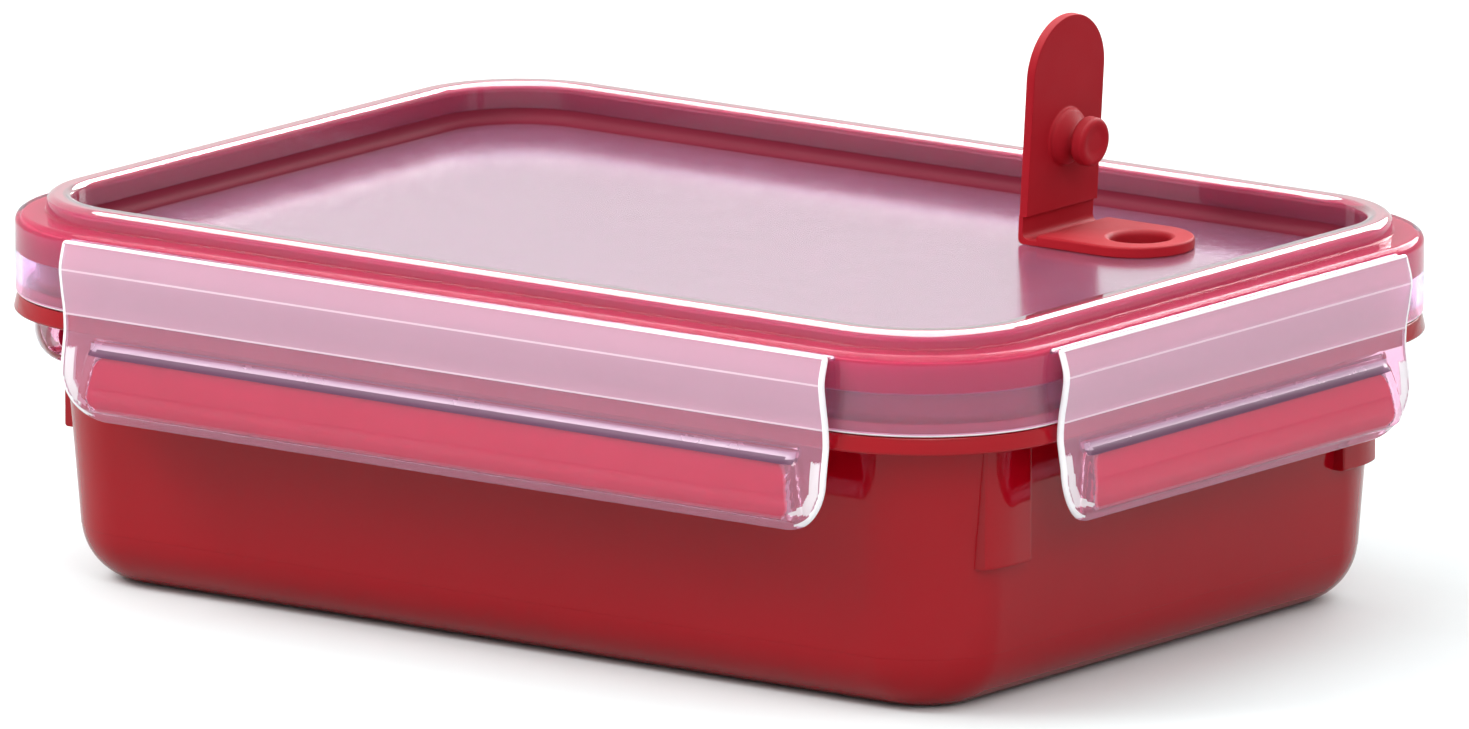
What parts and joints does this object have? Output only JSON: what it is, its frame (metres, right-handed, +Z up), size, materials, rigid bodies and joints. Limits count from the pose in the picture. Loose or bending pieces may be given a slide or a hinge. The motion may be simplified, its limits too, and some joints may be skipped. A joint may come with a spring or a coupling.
{
  "type": "lunch box",
  "caption": "Rectangular food container with a clear sealed lid, hinged clips along its sides and a silicone steam vent with a fold-down stopper flap.",
  "frame": {"origin": "centre of the object's base, on the surface it stands on", "axes": "+X along the long side, -Y towards the front clip, +Z up"},
  "size_m": [0.2296, 0.166, 0.1018],
  "materials": {
    "container_plastic": "opaque red polypropylene, satin gloss",
    "clear_plastic": "clear polypropylene, polished, faintly hazy",
    "seal_silicone": "red soft seal compound, smooth",
    "vent_silicone": "red silicone rubber, matte"
  },
  "bodies": {
    "container": {"container": "container_plastic"},
    "lid": {"lid": "clear_plastic", "lid_seal": "seal_silicone", "front_film_hinge": "clear_plastic", "back_film_hinge": "clear_plastic", "left_film_hinge": "clear_plastic", "right_film_hinge": "clear_plastic", "vent_base": "vent_silicone", "vent_hinge_web": "vent_silicone"},
    "front_clip": {"front_clip": "clear_plastic", "front_grip_pad": "seal_silicone"},
    "back_clip": {"back_clip": "clear_plastic", "back_grip_pad": "seal_silicone"},
    "left_clip": {"left_clip": "clear_plastic", "left_grip_pad": "seal_silicone"},
    "right_clip": {"right_clip": "clear_plastic", "right_grip_pad": "seal_silicone"},
    "vent_flap": {"vent_flap": "vent_silicone"}
  },
  "joints": [
    {"name": "lid_lift", "type": "slide", "parent": "container", "child": "lid", "axis": [0, 0, 1], "range_m": [0, 0.07]},
    {"name": "front_clip_hinge", "type": "hinge", "parent": "lid", "child": "front_clip", "pos_m": [0, -0.07975, 0.0646], "axis": [-1, 0, 0], "range_deg": [-2.4, 160]},
    {"name": "back_clip_hinge", "type": "hinge", "parent": "lid", "child": "back_clip", "pos_m": [0, 0.07975, 0.0646], "axis": [1, 0, 0], "range_deg": [-2.4, 160]},
    {"name": "left_clip_hinge", "type": "hinge", "parent": "lid", "child": "left_clip", "pos_m": [-0.11155, 0, 0.0646], "axis": [0, 1, 0], "range_deg": [-2.4, 160]},
    {"name": "right_clip_hinge", "type": "hinge", "parent": "lid", "child": "right_clip", "pos_m": [0.11155, 0, 0.0646], "axis": [0, -1, 0], "range_deg": [-2.4, 160]},
    {"name": "vent_flap_hinge", "type": "hinge", "parent": "lid", "child": "vent_flap", "pos_m": [0.0453, 0.0407, 0.0634], "axis": [0, 1, 0], "range_deg": [-70, 86.5], "stiffness_Nm_per_rad": 0.005}
  ]
}
